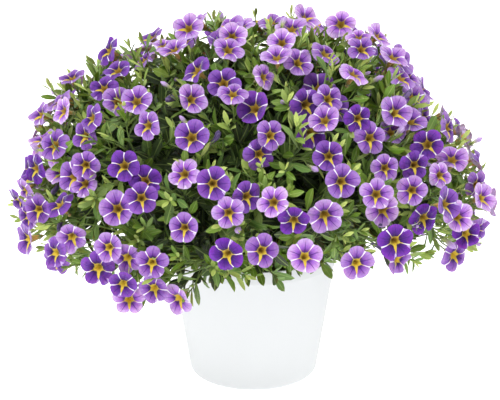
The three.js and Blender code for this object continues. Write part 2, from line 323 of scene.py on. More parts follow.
# ---- leaves, as the solids have them

LEAF_LENGTH = 15, 23
LEAF_SHARES = 0.4, 0.98
LEAF_ANGLES = 75, 40
LEAFY_LEAVES, FLOWERING_LEAVES = 6, 1
STALK_LEAF_SHARES = 0.5, 0.75
STALK_LEAF_ANGLES = 50, 70
LEAF_SCATTER = 0.3

# A leaf's upper is the side that its face is turned to. A solid's leaf is half grown.
Leaf = namedtuple("Leaf", "shoot root direction upper length young", defaults=[0.45])


def leaf_direction(along, turn, angle):
    """The direction of a leaf that leaves a stem at an angle, turned round the stem."""
    helper = Vector((1, 0, 0)) if abs(along.z) > 0.9 else Vector((0, 0, 1))
    across = Matrix.Rotation(turn, 3, along) @ helper.cross(along).normalized()
    return along * math.cos(angle) + across * math.sin(angle)


def find_leaves(shoots):
    """The leaves that the solids have, each found by its tip and moved to the smooth stem."""
    tips = corners(shoots)
    draw = Draws(96)
    found = []

    def keep(shoot, root, direction, upper, length, shift):
        tip = root + direction * length
        if tips.find(tip * MM)[2] < NEAR:
            found.append(Leaf(shoot, root + shift, direction, upper, length))

    for shoot in shoots:
        count = LEAFY_LEAVES if shoot.leafy else FLOWERING_LEAVES
        for k in range(count):
            share = lerp(*LEAF_SHARES, (k + 0.5) / count)
            angle = math.radians(lerp(*LEAF_ANGLES, share))
            length = draw(*LEAF_LENGTH)
            place, direction = shoot.along(share)
            turn = k * GOLDEN_ANGLE + draw(-LEAF_SCATTER, LEAF_SCATTER)
            towards = leaf_direction(direction, turn, angle)
            keep(shoot, place, towards, direction, length, bezier(shoot.curve, share) - place)
        for bloom in shoot.stalks:
            root = shoot.along(bloom.root_share)[0]
            neck = bloom.centre - bloom.facing * NECK_DEPTH
            along = (neck - root).normalized()
            share = draw(*STALK_LEAF_SHARES)
            start = root.lerp(neck, share)
            turn = draw(0, 2 * math.pi)
            towards = leaf_direction(along, turn, math.radians(draw(*STALK_LEAF_ANGLES)))
            shift = bezier(pedicel(bloom), share) - start
            keep(shoot, start, towards, along, draw(*LEAF_LENGTH), shift)
    return found


# ---- finer growth

CALYX_DEPTH = 1.12
# Each layer of twigs: how many, how far out, leaves on each, their lengths, and how young and lit they are;
# the deeper layers' low values paint their leaves darker, as painted shade.
TUFT_LAYERS = [
    (510, (0.84, 0.96), 9, (13, 20), 1.0),
    (300, (0.6, 0.82), 9, (18, 26), 0.16),
    (190, (0.36, 0.6), 9, (24, 33), 0.04),
]
TUFT_AZIMUTH = 2.1
LEAST_REACH = 0.5
RIM_TUFT_COUNT = 120
RIM_AWAY = 76, 106
RIM_HEIGHT = 114, 146
TWIG_LENGTH = 34
TWIG_SIDE_COST = 40
TWIG_LEAF_ANGLES = 68, 22
LAST_LEAF = 0.62  # how much shorter leaves get towards a twig's tip
STRAY_LEAVES = 0.07  # the share of leaves that are left over a bloom's face
# Where leaves keep off the pot: below a height, and between two distances from its axis.
POT_ZONES = [(113, 64, 75), (107, 64, 96)]
BUD_COUNT = 70
SPENT_COUNT = 26


def pedicel(bloom):
    """The control points of the thin stalk that carries a bloom."""
    root = bezier(bloom.shoot.curve, bloom.root_share)
    base = bloom.centre - bloom.head * bloom.radius * CALYX_DEPTH
    span = (base - root).length
    along = slope(bloom.shoot.curve, bloom.root_share)
    return [root, root + along * 0.3 * span, base - bloom.head * 0.5 * span, base]


class Crowd:
    """The blooms as a crowd that leaves keep out of."""

    # How far blooms are looked for, the back and share of the radius of a face, and its tube.
    SEARCH = 20
    FACE_BACK, FACE_SHARE = -2.5, 0.95
    TUBE_END, TUBE_RADIUS = -16, 3.5

    def __init__(self, blooms):
        self.blooms = blooms
        self.tree = point_tree([bloom.centre for bloom in blooms])

    def hides(self, point, front=9):
        """Whether a point is in a bloom or would cover its face."""
        for _, index, _ in self.tree.find_range(point, self.SEARCH):
            bloom = self.blooms[index]
            offset = point - bloom.centre
            height = offset.dot(bloom.head)
            across = (offset - bloom.head * height).length
            if self.FACE_BACK < height < front and across < bloom.radius * self.FACE_SHARE:
                return True
            if self.TUBE_END < height <= self.FACE_BACK and across < self.TUBE_RADIUS:
                return True
        return False


class Tuft:
    """A short leafy twig: its curve, the shoot that it grows from and its leaves."""

    def __init__(self, shoots, tip, outward):
        self.shoot, share = nearest_shoot(shoots, tip)
        root = bezier(self.shoot.curve, share)
        span = (tip - root).length
        along = slope(self.shoot.curve, share)
        self.curve = [root, root + along * 0.4 * span, tip - outward * 0.4 * span, tip]
        self.leaves = []

    def grow(self, crowd, draw, count, lengths, young, first=0.45):
        """Leaves that wind up the twig from a first share of it, shorter and steeper at its tip."""
        for k in range(count):
            share = lerp(first, 1, (k / max(count - 1, 1)) ** 0.75)
            angle = math.radians(lerp(*TWIG_LEAF_ANGLES, share ** 2) + draw(-8, 8))
            length = draw(*lengths) * lerp(1, LAST_LEAF, share ** 4)
            along = slope(self.curve, share)
            turn = k * GOLDEN_ANGLE + draw(-LEAF_SCATTER, LEAF_SCATTER)
            towards = leaf_direction(along, turn, angle)
            root = bezier(self.curve, share)
            # The layer's value paints deep leaves darker as painted shade; towards a twig's tip the leaves
            # are younger and lighter.
            tint = young * lerp(0.35, 1, share ** 2) * draw(0.6, 1.15)
            points = [root + towards * length, root + towards * length * 0.55]
            if any(cuts_pot(point) for point in points):
                continue
            if not any(crowd.hides(point) for point in points) or draw(0, 1) < STRAY_LEAVES:
                self.leaves.append(Leaf(self.shoot, root, towards, along, length, tint))


def cuts_pot(point):
    """Whether a point is in the pot's wall, too close to it or hangs low in front of it."""
    away = math.hypot(point.x, point.y)
    return any(point.z < height and near < away < far for height, near, far in POT_ZONES)


def nearest_shoot(shoots, place):
    """The shoot and share of it that a twig to a place grows from."""
    costs = []
    for shoot in shoots:
        for step in range(6, 20):
            share = step / 20
            reach = place - bezier(shoot.curve, share)
            back = reach.normalized().dot(slope(shoot.curve, share))
            cost = abs(reach.length - TWIG_LENGTH) + TWIG_SIDE_COST * max(0, 0.4 - back)
            costs.append((cost, shoot.name, share, shoot))
    _, _, share, shoot = min(costs)
    return shoot, share


def make_tufts(shoots, crowd):
    """Leafy twigs: an outer layer between the blooms and deeper layers that close the mound."""
    draw = Draws(53)
    tufts = []
    for count, reaches, leaves, lengths, young in TUFT_LAYERS:
        for index in range(count):
            share = (index + 0.5 + draw(-0.4, 0.4)) / count
            azimuth = index * GOLDEN_ANGLE + TUFT_AZIMUTH + draw(-0.2, 0.2)
            place = mound_point(polar_at(share, azimuth), azimuth)
            scatter = Vector((draw(-0.3, 0.3), draw(-0.3, 0.3), draw(0, 0.4)))
            outward = (mound_normal(place) + scatter).normalized()
            reach = draw(*reaches) + 0.05 * max(outward.z, 0) ** 4
            tip = MOUND_CENTRE.lerp(place, reach)
            while reach > LEAST_REACH and crowd.hides(tip, front=5):
                reach -= 0.03
                tip = MOUND_CENTRE.lerp(place, reach)
            tuft = Tuft(shoots, tip, outward)
            tuft.grow(crowd, draw, leaves, lengths, young)
            tufts.append(tuft)
    return tufts + make_rim_tufts(shoots, crowd)


def make_rim_tufts(shoots, crowd):
    """Leafy twigs all round the pot that lie over its rim and hang a little below it."""
    draw = Draws(59)
    tufts = []
    for index in range(RIM_TUFT_COUNT):
        azimuth = index * GOLDEN_ANGLE + draw(-0.1, 0.1)
        out = Vector((math.cos(azimuth), math.sin(azimuth), 0))
        tip = out * draw(*RIM_AWAY) + Vector((0, 0, draw(*RIM_HEIGHT)))
        if crowd.hides(tip, front=5):
            tip -= out * 5
        outward = (out + Vector((0, 0, draw(-0.4, 0.3)))).normalized()
        tuft = Tuft(shoots, tip, outward)
        tuft.grow(crowd, draw, 12, (16, 25), 0.5, first=0.15)
        tufts.append(tuft)
    return tufts


class Sprig:
    """A bud or a spent bloom on its own thin stalk."""

    def __init__(self, tuft, draw, spent):
        share = draw(0.35, 0.8)
        root = bezier(tuft.curve, share)
        along = slope(tuft.curve, share)
        out = leaf_direction(along, draw(0, 2 * math.pi), math.radians(draw(20, 45)))
        self.shoot = tuft.shoot
        self.spent = spent
        self.length = draw(10, 15) if spent else draw(8, 17)
        tip = root + out * draw(9, 17)
        self.facing = (out + Vector((0, 0, -0.5 if spent else 0.2))).normalized()
        self.curve = [root, root + along * 5, tip - self.facing * 5, tip]

    def head_axes(self, scale, lift=0):
        """The matrix that puts a ready shape on the stalk, its origin lifted off the stalk's tip."""
        across = any_square(self.facing)
        origin = self.curve[-1] + self.facing * scale * lift
        return axes(across, self.facing.cross(across), self.facing, origin, scale)


def make_sprigs(tufts):
    """Buds and spent blooms, on twigs spread through the outer layer."""
    draw = Draws(71)
    outer = tufts[:TUFT_LAYERS[0][0]]
    sprigs = []
    for count, spent in ((BUD_COUNT, False), (SPENT_COUNT, True)):
        for index in range(count):
            tuft = outer[int((index + draw(0, 1)) * len(outer) / count) % len(outer)]
            sprigs.append(Sprig(tuft, draw, spent))
    return sprigs


@functools.cache
def growth():
    """Everything that grows, worked out once."""
    shoots = make_shoots()
    blooms = find_blooms(shoots)
    leaves = find_leaves(shoots)
    tufts = make_tufts(shoots, Crowd(blooms))
    leaves += [leaf for tuft in tufts for leaf in tuft.leaves]
    sprigs = make_sprigs(tufts)
    return shoots, blooms, leaves, tufts, sprigs


# ---- ready shapes

def ready_shape(name, bm, plan, material=0):
    """A finished bmesh as a smooth mesh, with the plan map that its finish reads."""
    layer = bm.loops.layers.uv.new("plan")
    for face in bm.faces:
        face.smooth = True
        face.material_index += material
        for loop in face.loops:
            loop[layer].uv = plan(loop.vert.co)
    mesh = bpy.data.meshes.new(name)
    bm.to_mesh(mesh)
    bm.free()
    return mesh


def spun(profile, steps, merge):
    """A profile of radii and heights turned on the Z axis, with points closer than merge made one."""
    bm = bmesh.new()
    verts = [bm.verts.new((radius, 0, height)) for radius, height in profile]
    edges = [bm.edges.new(pair) for pair in zip(verts, verts[1:])]
    bmesh.ops.spin(bm, geom=verts + edges, cent=(0, 0, 0), axis=(0, 0, 1), angle=2 * math.pi,
                   steps=steps, use_merge=True)
    bmesh.ops.remove_doubles(bm, verts=bm.verts, dist=merge)
    bmesh.ops.recalc_face_normals(bm, faces=bm.faces)
    return bm


def rod(sides, steps):
    """A closed rod of radius one along X, from 0 to 1, cut into steps."""
    bm = bmesh.new()
    lay = Matrix.Translation((0.5, 0, 0)) @ Matrix.Rotation(math.pi / 2, 4, "Y")
    bmesh.ops.create_cone(bm, cap_ends=True, segments=sides, radius1=1, radius2=1, depth=1, matrix=lay)
    long = [edge for edge in bm.edges if abs(edge.verts[0].co.x - edge.verts[1].co.x) > 0.5]
    bmesh.ops.subdivide_edges(bm, edges=long, cuts=steps - 1, use_grid_fill=True)
    return bm


TUBES = [(7, 12), (4, 8), (4, 5)]  # the sides and steps of stems, twigs and stalks


def tube_shape(sides, steps):
    return ready_shape("tube", rod(sides, steps), lambda co: (co.x, 0.5 + 0.5 * co.y), material=1)


# Along the blade, its share of the length and of the width.
LEAF_OUTLINE = [(0, 0.2), (0.14, 0.4), (0.38, 0.86), (0.64, 1.0), (0.87, 0.58), (1, 0)]
# Each kind of blade: its width, fold, arch and sway, as shares of its length.
BLADES = [
    (0.40, 0.18, 0.10, 0.03), (0.38, 0.30, 0.18, -0.05), (0.43, 0.08, 0.05, 0.04),
    (0.36, 0.25, 0.26, -0.02), (0.40, 0.12, -0.06, -0.04), (0.34, 0.40, 0.12, 0.06),
]
YOUNG_BLADES = [(0.30, 0.3, 0.06, 0.03), (0.27, 0.25, -0.05, -0.03)]


def leaf_shape(width, fold, arch, sway):
    """A thin closed blade of length one along X, folded at its midrib and arched down."""
    bm = rod(4, len(LEAF_OUTLINE) - 1)
    half = width / 2
    for vert in bm.verts:
        share, wide = LEAF_OUTLINE[round(vert.co.x * (len(LEAF_OUTLINE) - 1))]
        across = round(vert.co.y, 3)
        under = -0.018 if vert.co.z < -0.5 else 0
        edge = abs(across) > 0.5
        vert.co = (
            share * (1 - 0.15 * arch),
            across * half * wide + sway * share * share,
            (fold * wide * half if edge else under * wide) - arch * share * share,
        )
    bmesh.ops.remove_doubles(bm, verts=bm.verts, dist=0.004)
    bmesh.ops.recalc_face_normals(bm, faces=bm.faces)
    for edge in bm.edges:
        if edge.is_manifold and edge.calc_face_angle(0) > math.radians(80):
            edge.smooth = False

    def plan(co):
        return co.x, 0.5 + (co.y - sway * co.x * co.x) / width

    return ready_shape("leaf", bm, plan)


# The lit face from the throat out to the rim, then the back from the rim down to the tube's foot.
BLOOM_PROFILE = [
    (0, -0.62), (0.12, -0.46), (0.27, -0.17), (0.62, -0.035), (1, 0),
    (0.60, -0.07), (0.26, -0.24), (0.135, -0.56), (0.105, -1.04), (0, -1.05),
]
RIM_STEPS = 30
# Each kind of bloom: a seed, the rim's radius in its notches, and its curl, cup and wave.
BLOOM_KINDS = [
    (1, 0.80, 0.02, 0.04, 0.14), (2, 0.77, 0.12, 0.02, 0.17), (3, 0.83, -0.03, 0.05, 0.13),
    (4, 0.75, 0.18, 0.02, 0.15), (5, 0.79, 0.06, 0.07, 0.20), (6, 0.81, 0.00, 0.00, 0.15),
    (7, 0.72, 0.14, 0.06, 0.18), (8, 0.76, 0.26, 0.05, 0.22),
]


def bloom_shape(seed, notch, curl, cup, wave):
    """A five-lobed trumpet of rim radius one, facing +Z, with its lowest ray along +X."""
    draw = Draws(seed)
    lobes = [draw(0.89, 1.0) for _ in range(5)]
    lifts = [draw(-1, 1) for _ in range(5)]
    rolls = [draw(-1, 1) for _ in range(5)]
    bm = spun(BLOOM_PROFILE, RIM_STEPS, 0.001)
    for face in bm.faces:
        face.material_index = 0 if face.normal.z > 0 else 1
    for edge in bm.edges:
        edge.smooth = len({face.material_index for face in edge.link_faces}) == 1
    for vert in bm.verts:
        radius = math.hypot(vert.co.x, vert.co.y)
        turn = (math.atan2(vert.co.y, vert.co.x) / (2 * math.pi) * 5) % 5
        lobe, place = int(turn) % 5, turn % 1
        round_up = math.sin(math.pi * place) ** 0.62 if 0.001 < place < 0.999 else 0
        rim = lerp(notch, lobes[lobe], round_up)
        spread = lerp(1, rim, min(max((radius - 0.2) / 0.5, 0), 1))
        valley = 0.11 * ((1 + math.cos(2 * math.pi * place)) / 2) ** 2
        lift = wave * (lifts[lobe] * round_up + rolls[lobe] * math.sin(2 * math.pi * place))
        vert.co.x *= spread
        vert.co.y *= spread
        vert.co.z += radius ** 2 * (lift + cup - valley) - curl * radius ** 4
    return ready_shape("bloom", bm, lambda co: (0.5 + 0.5 * co.x, 0.5 + 0.5 * co.y))


def calyx_shape():
    """A green cup with five narrow sepals, round the foot of a bloom's tube."""
    bm = bmesh.new()
    bmesh.ops.create_cone(bm, cap_ends=True, segments=6, radius1=0.05, radius2=0.15, depth=0.26,
                          matrix=Matrix.Translation((0, 0, -1.0)))
    for k in range(5):
        turn = Matrix.Rotation((k + 0.5) * 2 * math.pi / 5, 4, "Z")
        lean = Matrix.Translation((0.11, 0, -0.92)) @ Matrix.Rotation(math.radians(38), 4, "Y")
        flat = Matrix.Diagonal((0.35, 1, 1, 1))
        bmesh.ops.create_cone(bm, cap_ends=True, segments=4, radius1=0.07, radius2=0.0, depth=0.5,
                              matrix=turn @ lean @ Matrix.Translation((0, 0, 0.25)) @ flat)
    return ready_shape("calyx", bm, lambda co: (0.6, 0.5), material=1)


# A furled bud and a spent bloom: sides, radii, pleats, twist, sag and place on the finish.
BUD = 6, [0.07, 0.09, 0.10, 0.15, 0.16, 0.04], 0, 0.8, 0, 0.1
SPENT = 10, [0.07, 0.08, 0.10, 0.17, 0.20, 0.11], 0.6, 1.5, 1, 0.6


def bud_shape(sides, outline, pleats, twist, sag, first):
    """A narrow bud along Z from 0 to 1, furled or shrivelled with deep folds."""
    bm = rod(sides, len(outline) - 1)
    bmesh.ops.rotate(bm, verts=bm.verts, cent=(0, 0, 0), matrix=Matrix.Rotation(-math.pi / 2, 3, "Y"))
    for vert in bm.verts:
        share = vert.co.z
        turn = math.atan2(vert.co.y, vert.co.x)
        radius = outline[round(share * (len(outline) - 1))] * (1 + pleats * math.cos(5 * turn) * share)
        turn += twist * share
        droop = Vector((0.25 * share * share, 0.05 * math.sin(9 * share), 0)) * sag
        vert.co = Vector((radius * math.cos(turn), radius * math.sin(turn), share)) + droop
    bmesh.ops.recalc_face_normals(bm, faces=bm.faces)
    return ready_shape("bud", bm, lambda co: (co.z, first + 0.05 * math.atan2(co.y, co.x)), material=2)


class Sectors:
    """Many placed copies of ready shapes, gathered into one mesh for each sector of the dome."""

    def __init__(self):
        self.meshes = [bmesh.new() for _ in range(SECTORS)]

    def add(self, shoot, shape, tint, lay):
        """A copy of a shape with its own tint, laid in its place in the shoot's sector."""
        copy = shape.copy()
        values = copy.attributes.new("tint", "FLOAT", "POINT").data
        values.foreach_set("value", [tint] * len(values))
        lay(copy)
        self.meshes[shoot.sector].from_mesh(copy)
        bpy.data.meshes.remove(copy)

    def put(self, shoot, shape, place, tint):
        """A copy of a shape at a place."""
        self.add(shoot, shape, tint, lambda copy: copy.transform(place))

    def bend(self, shoot, shape, curve, radii, tint, side=None):
        """A copy of a rod bent along a curve, with radii in millimetres at its two ends."""
        if side is None:
            side = any_square(slope(curve, 0.5))
        sections = {}

        def lay(copy):
            for vert in copy.vertices:
                share = round(vert.co.x, 4)
                if share not in sections:
                    along = slope(curve, share)
                    across = square_to(side, along)
                    up = along.cross(across)
                    sections[share] = bezier(curve, share), across, up, lerp(*radii, share)
                place, across, up, radius = sections[share]
                vert.co = (place + (across * vert.co.y + up * vert.co.z) * radius) * MM

        self.add(shoot, shape, tint, lay)

    def pieces(self, name, finishes):
        """The sectors' objects, numbered from 01."""
        return [add_piece(f"{name}_{number:02d}", bm, finishes) for number, bm in enumerate(self.meshes, 1)]


# ---- finishes

class Signal:
    """A value on a node's socket. Python's operators on it add Math nodes."""

    def __init__(self, finish, socket):
        self.finish = finish
        self.socket = socket

    def math(self, operation, *others):
        return self.finish.node("ShaderNodeMath", {"operation": operation}, [self, *others])

    def __add__(self, other):
        return self.math("ADD", other)

    def __sub__(self, other):
        return self.math("SUBTRACT", other)

    def __rsub__(self, other):
        return self.finish.node("ShaderNodeMath", {"operation": "SUBTRACT"}, [other, self])

    def __mul__(self, other):
        return self.math("MULTIPLY", other)

    def __truediv__(self, other):
        return self.math("DIVIDE", other)

    def __abs__(self):
        return self.math("ABSOLUTE")

    __radd__ = __add__
    __rmul__ = __mul__

    def step(self, low, high):
        """A smooth rise from 0 at low to 1 at high; a fall where low is the higher."""
        return self.finish.node("ShaderNodeMapRange", {"interpolation_type": "SMOOTHSTEP"},
                                {"Value": self, "From Min": low, "From Max": high})

    def mix(self, one, other):
        """One colour going over to another as the value goes from 0 to 1."""
        sockets = {0: self, 6: one, 7: other}
        return self.finish.node("ShaderNodeMix", {"data_type": "RGBA"}, sockets, output=2)


class Finish:
    """A material in the making: values and colours worked out by nodes, fed to its shader."""

    def __init__(self, name):
        self.material = bpy.data.materials.new(name)
        self.material.use_nodes = True
        self.tree = self.material.node_tree
        self.shader = self.tree.nodes["Principled BSDF"]

    def feed(self, socket, value):
        if isinstance(value, Signal):
            self.tree.links.new(value.socket, socket)
        elif socket.type == "RGBA" and len(value) == 3:
            socket.default_value = (*value, 1)
        else:
            socket.default_value = value

    def node(self, kind, settings=None, inputs=(), output=0):
        """A node with its settings made and its sockets fed; the result is one of its outputs."""
        node = self.tree.nodes.new(kind)
        for key, value in (settings or {}).items():
            setattr(node, key, value)
        pairs = inputs.items() if isinstance(inputs, dict) else enumerate(inputs)
        for key, value in pairs:
            self.feed(node.inputs[key], value)
        return Signal(self, node.outputs[output])

    def shade(self, **inputs):
        """Feeds the shader: Base_Color=..., Roughness=... and so on."""
        for key, value in inputs.items():
            self.feed(self.shader.inputs[key.replace("_", " ")], value)
        return self.material

    def layers(self, colour, *over):
        """A colour with others laid over it in turn, each as a factor and a colour."""
        for factor, other in over:
            colour = factor.mix(colour, other)
        return colour

    def tint(self):
        """The value that each copied shape carries."""
        return self.node("ShaderNodeAttribute", {"attribute_name": "tint"}, output=2)

    def part(self, vector, index):
        """One of a vector's three coordinates."""
        return self.node("ShaderNodeSeparateXYZ", {}, [vector], output=index)

    def plan(self):
        """The two coordinates of the plan map."""
        plan = self.node("ShaderNodeUVMap", {"uv_map": "plan"})
        return self.part(plan, 0), self.part(plan, 1)

    def place(self):
        """Object coordinates, in metres."""
        return self.node("ShaderNodeTexCoord", output=3)

    def height(self):
        """The height above the floor, in metres."""
        return self.part(self.place(), 2)

    def cloud(self, vector, scale, detail=3.0, roughness=0.5):
        """Soft noise of 0 to 1."""
        return self.node("ShaderNodeTexNoise", {},
                         {"Vector": vector, "Scale": scale, "Detail": detail, "Roughness": roughness})

    def vector(self, *parts):
        return self.node("ShaderNodeCombineXYZ", {}, parts)

    def relief(self, height, distance, strength=1.0, over=None):
        """A bumpy normal from a height of 0 to 1, over a distance in metres, and over a larger relief."""
        inputs = {"Height": height, "Distance": distance, "Strength": strength}
        if over:
            inputs["Normal"] = over
        return self.node("ShaderNodeBump", {}, inputs)

    def folds(self):
        """The soft folds of a petal, as a relief that differs from bloom to bloom."""
        height = self.cloud(self.vector(*self.plan(), self.tint() * 60), 4.5, detail=1)
        return self.relief(height, 0.004, 0.8)


def bloom_polar(finish):
    """The bloom's plan map as a radius, the angle from the lowest ray, and the distances from the
    nearest ray and from the nearest lobe's middle, all in rim radii."""
    u, v = finish.plan()
    x, y = u * 2 - 1, v * 2 - 1
    radius = (x * x + y * y).math("SQRT")
    angle = y.math("ARCTAN2", x)
    fifth = 2 * math.pi / 5
    from_ray = ((angle / fifth + 0.5).math("FRACT") - 0.5) * fifth
    from_middle = ((angle / fifth).math("FRACT") - 0.5) * fifth
    ray = abs(radius * from_ray.math("SINE"))
    vein = abs(radius * from_middle.math("SINE"))
    return radius, angle, ray, vein


def petal_face_finish(colours):
    """The face of a bloom: violet, with white rays, dark veins and a golden star in the throat."""
    finish = Finish("petal_face")
    radius, angle, ray, vein = bloom_polar(finish)
    tint = finish.tint()
    streaks = finish.cloud(finish.vector(angle * 12, radius * 1.6, tint * 40), 1.0, detail=4)
    grain = finish.cloud(finish.vector(angle * 3, radius * 5, tint * 40), 2.0)
    rim = tint.mix(colours.petal_deep, colours.petal_pale)
    middle = tint.mix(colours.petal_heart, colours.petal_middle)
    limb = (radius + (grain - 0.5) * 0.3).step(0.4, 1.0).mix(middle, rim)
    heart = (radius + vein * 0.6 + (streaks - 0.5) * 0.25).step(0.62, 0.26)
    dark_line = vein.step(0.03, 0.008) * radius.step(0.98, 0.6)
    shadow = (radius + (streaks - 0.5) * 0.12).step(0.46, 0.27)
    lowest = abs(angle).step(0.55, 0.5)
    half = 0.012 + radius.step(0.4, 1.0) * 0.032 + lowest * radius.step(0.66, 0.3) * 0.065
    line = (ray - half).step(0.022, -0.012)
    white = (radius - (lowest * 0.17 + 0.42)).step(-0.08, 0.12)
    star = (radius + ray * 0.5).step(0.32, 0.25)
    # Painted light: blooms low on the dome get lighter, more golden stars and throats with less brown, as
    # the light from above falls into them.
    low_bloom_painted_light = finish.height().step(0.19, 0.13)
    paler = (radius + lowest * 0.12 + low_bloom_painted_light * 0.25).step(0.2, 0.38)
    throat = (radius + ray * 0.5 + (streaks - 0.5) * 0.3 + low_bloom_painted_light * 0.12).step(0.23, 0.06)
    limb = finish.layers(
        limb,
        (heart * (0.95 - tint * 0.25), colours.petal_heart),
        (streaks.step(0.42, 0.7) * 0.35, colours.petal_deep),
        (dark_line * 0.75, colours.petal_heart),
        (shadow * (0.92 - tint * 0.6), colours.petal_shadow),
        (line, white.mix(colours.ray_gold, colours.ray_white)),
        (star, paler.mix(colours.throat_gold, colours.ray_gold)),
        (throat * (0.95 - tint * 0.5) * (1 - low_bloom_painted_light * 0.6), colours.throat_brown),
    )
    relief = finish.relief(streaks + dark_line * -0.6 + line * 0.5, 0.0003, 0.7, over=finish.folds())
    finish.shade(Base_Color=limb, Roughness=0.55 + grain * 0.15, Normal=relief)
    finish.shade(Subsurface_Weight=0.12, Subsurface_Scale=0.002, Specular_IOR_Level=0.25)
    return finish.shade(Sheen_Weight=0.25, Sheen_Roughness=0.4)


def petal_back_finish(colours):
    """The back of a bloom: pale lilac with whitish veins, over a golden-brown tube."""
    finish = Finish("petal_back")
    radius, angle, ray, vein = bloom_polar(finish)
    tint = finish.tint()
    streaks = finish.cloud(finish.vector(angle * 7, radius * 1.6, tint * 40), 1.0, detail=4)
    veins = ray.step(0.05, 0.015) + vein.step(0.03, 0.01) * 0.5
    tube = streaks.step(0.4, 0.65).mix(colours.tube_gold, colours.tube_brown)
    back = finish.layers(
        tint.mix(colours.back_deep, colours.back_pale),
        (streaks.step(0.4, 0.7) * 0.18, colours.petal_deep),
        (veins * 0.7, colours.ray_white),
        (radius.step(0.32, 0.2), tube),
    )
    relief = finish.relief(streaks + veins * 0.5, 0.0003, 0.7, over=finish.folds())
    finish.shade(Base_Color=back, Roughness=0.6 + streaks * 0.1, Normal=relief)
    return finish.shade(Subsurface_Weight=0.12, Subsurface_Scale=0.002, Sheen_Weight=0.35)


def bud_finish(colours):
    """Buds: green at the foot, violet at the tip. Spent blooms: dark and dull."""
    finish = Finish("bud")
    along, kind = finish.plan()
    tint = finish.tint()
    streaks = finish.cloud(finish.vector(along * 1.5, kind * 50, tint * 30), 1.0, detail=4)
    spent = streaks.step(0.35, 0.7).mix(colours.spent_dark, colours.spent_brown)
    colour = finish.layers(
        colours.bud_green,
        ((along + (streaks - 0.5) * 0.4).step(0.3, 0.8), colours.back_deep),
        (streaks.step(0.5, 0.65) * 0.5, colours.ray_white),
        (kind.step(0.3, 0.4), spent),
    )
    relief = finish.relief(streaks, 0.0006, 0.8)
    finish.shade(Base_Color=colour, Roughness=0.6 + streaks * 0.2, Normal=relief)
    return finish.shade(Sheen_Weight=0.2)


def leaf_finish(colours):
    """Leaves: dark green when grown and deep in the mound, where the darkness is painted shade, and
    yellow-green when young, with veins and fine hairs.
    """
    finish = Finish("leaf")
    along, across = finish.plan()
    tint = finish.tint()
    off = abs(across - 0.5)
    place = finish.place()
    mottle = finish.cloud(place, 160.0, detail=4)
    hairs = finish.cloud(place, 2600.0, detail=2)
    ribs = (along * 9 - off * 9).math("FRACT") - 0.5
    rib_lines = abs(ribs).step(0.12, 0.02) * off.step(0.48, 0.3)
    # Low tint values are old leaves and painted shade deep in the mound.
    age_and_shade = tint + (mottle - 0.5) * 0.3
    cool = (tint * 37).math("FRACT").step(0.5, 0.9)
    green = finish.layers(
        colours.leaf_dark_and_shade,
        (age_and_shade.step(0.0, 0.5), colours.leaf_green),
        (age_and_shade.step(0.5, 1.0), colours.leaf_young),
        (cool * age_and_shade.step(0.0, 0.4) * 0.3, colours.leaf_cool),
        (off.step(0.07, 0.02) * 0.5, colours.leaf_vein),
        (rib_lines * 0.16, colours.leaf_vein),
        (hairs.step(0.62, 0.75) * 0.12, colours.leaf_vein),
    )
    relief = finish.relief(mottle * 0.6 + hairs * 0.3 + rib_lines * -0.3, 0.0005, 0.7)
    finish.shade(Base_Color=green, Roughness=0.36 + mottle * 0.25, Normal=relief)
    return finish.shade(Subsurface_Weight=0.05, Subsurface_Scale=0.001, Sheen_Weight=0.06)


def stem_finish(colours):
    """Stems, stalks and calyxes: hairy green, browner low down."""
    finish = Finish("stem")
    place = finish.place()
    mottle = finish.cloud(place, 120.0, detail=4)
    hairs = finish.cloud(place, 3200.0, detail=2)
    low = (finish.height() + mottle * 0.03).step(0.16, 0.115)
    green = finish.layers(
        colours.stem_green,
        (finish.tint(), colours.stem_young),
        (low * 0.7, colours.stem_woody),
        (hairs.step(0.6, 0.75) * 0.35, colours.leaf_vein),
    )
    relief = finish.relief(hairs + mottle * 0.4, 0.0004, 0.8)
    finish.shade(Base_Color=green, Roughness=0.5 + mottle * 0.2, Normal=relief)
    return finish.shade(Sheen_Weight=0.2)


def pot_finish(settings):
    """Matte moulded plastic with painted shade: darker towards the rim and lighter towards the foot, with a
    fine grain and faint flow marks.
    """
    finish = Finish("pot_plastic")
    place = finish.place()
    grain = finish.cloud(place, 1500.0, detail=2)
    flow = finish.cloud(place, 14.0, detail=3)
    # Painted shade: the colour grows darker from the foot up to the rim; the flow marks mix in a little of
    # the same darker colour.
    high = finish.height().step(0.0, 0.11)
    colour = (high * 0.85 + flow * 0.15).mix(settings.pot_white, settings.pot_flow_and_painted_shade)
    relief = finish.relief(grain + flow * 0.5, 0.0002, 0.35)
    return finish.shade(Base_Color=colour, Roughness=0.5 + grain * 0.12 + flow * 0.06, Normal=relief)


def soil_finish(settings):
    """Dark peat with lighter fibres and a few pale grains."""
    finish = Finish("potting_soil")
    place = finish.place()
    crumbs = finish.cloud(place, 220.0, detail=6, roughness=0.7)
    fibres = finish.cloud(place, 700.0, detail=4)
    grains = finish.node("ShaderNodeTexVoronoi", {}, {"Vector": place, "Scale": 170.0})
    colour = finish.layers(
        settings.soil_dark,
        (crumbs.step(0.3, 0.7), settings.soil_brown),
        (fibres.step(0.6, 0.72) * 0.5, settings.soil_fibre),
        (grains.step(0.14, 0.1) * crumbs.step(0.55, 0.6), settings.soil_grain),
    )
    relief = finish.relief(crumbs + fibres * 0.3, 0.002, 1.0)
    return finish.shade(Base_Color=colour, Roughness=0.9 + fibres * 0.08, Normal=relief)


# ---- settings

def swatch(name, description, red, green, blue):
    return FloatVectorProperty(name=name, description=description, subtype="COLOR", size=3,
                               min=0, max=1, default=linear(red, green, blue))


def number(name, description, default, low, high, **kind):
    return FloatProperty(name=name, description=description, default=default, min=low, max=high, **kind)


length = functools.partial(number, unit="LENGTH")


